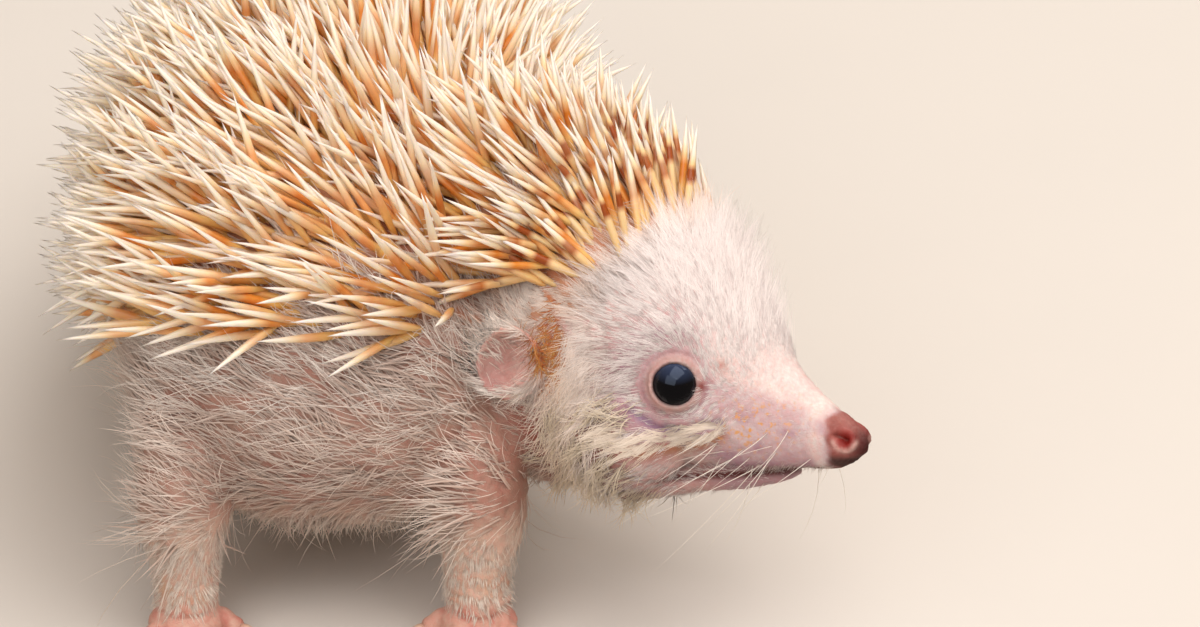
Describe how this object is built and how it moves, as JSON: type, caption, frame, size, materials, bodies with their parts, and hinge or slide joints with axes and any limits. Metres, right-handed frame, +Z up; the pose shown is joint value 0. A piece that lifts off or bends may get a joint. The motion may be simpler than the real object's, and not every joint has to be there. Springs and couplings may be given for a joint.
{
  "type": "hedgehog",
  "caption": "Life-size standing hedgehog as a museum model, head turned to its left, with a quilled back, soft-haired face, flanks and belly, bare snout and clawed feet.",
  "frame": {"origin": "on the floor, under the middle of the whole model's box", "axes": "+X is the way the trunk faces, +Y is the animal's left, +Z is up"},
  "size_m": [0.1306, 0.106, 0.0685],
  "materials": {
    "fur": "matte fine hair",
    "skin": "satin, finely creased",
    "quills": "satin, banded cream and orange-brown",
    "nose_pad": "moist, pebbled",
    "eyes": "wet gloss"
  },
  "bodies": {
    "root": {"trunk": "fur", "neck": "fur", "head": "fur", "snout": "skin", "lower_jaw": "skin", "tail": "skin", "ear_left": "skin", "ear_right": "skin", "foreleg_left": "skin", "foreleg_right": "skin", "hindleg_left": "skin", "hindleg_right": "skin", "forepaw_left": "skin", "forepaw_right": "skin", "hindpaw_left": "skin", "hindpaw_right": "skin", "spiny_back": "quills", "spiny_crown": "quills", "nose": "nose_pad", "eye_left": "eyes", "eye_right": "eyes"}
  },
  "joints": []
}
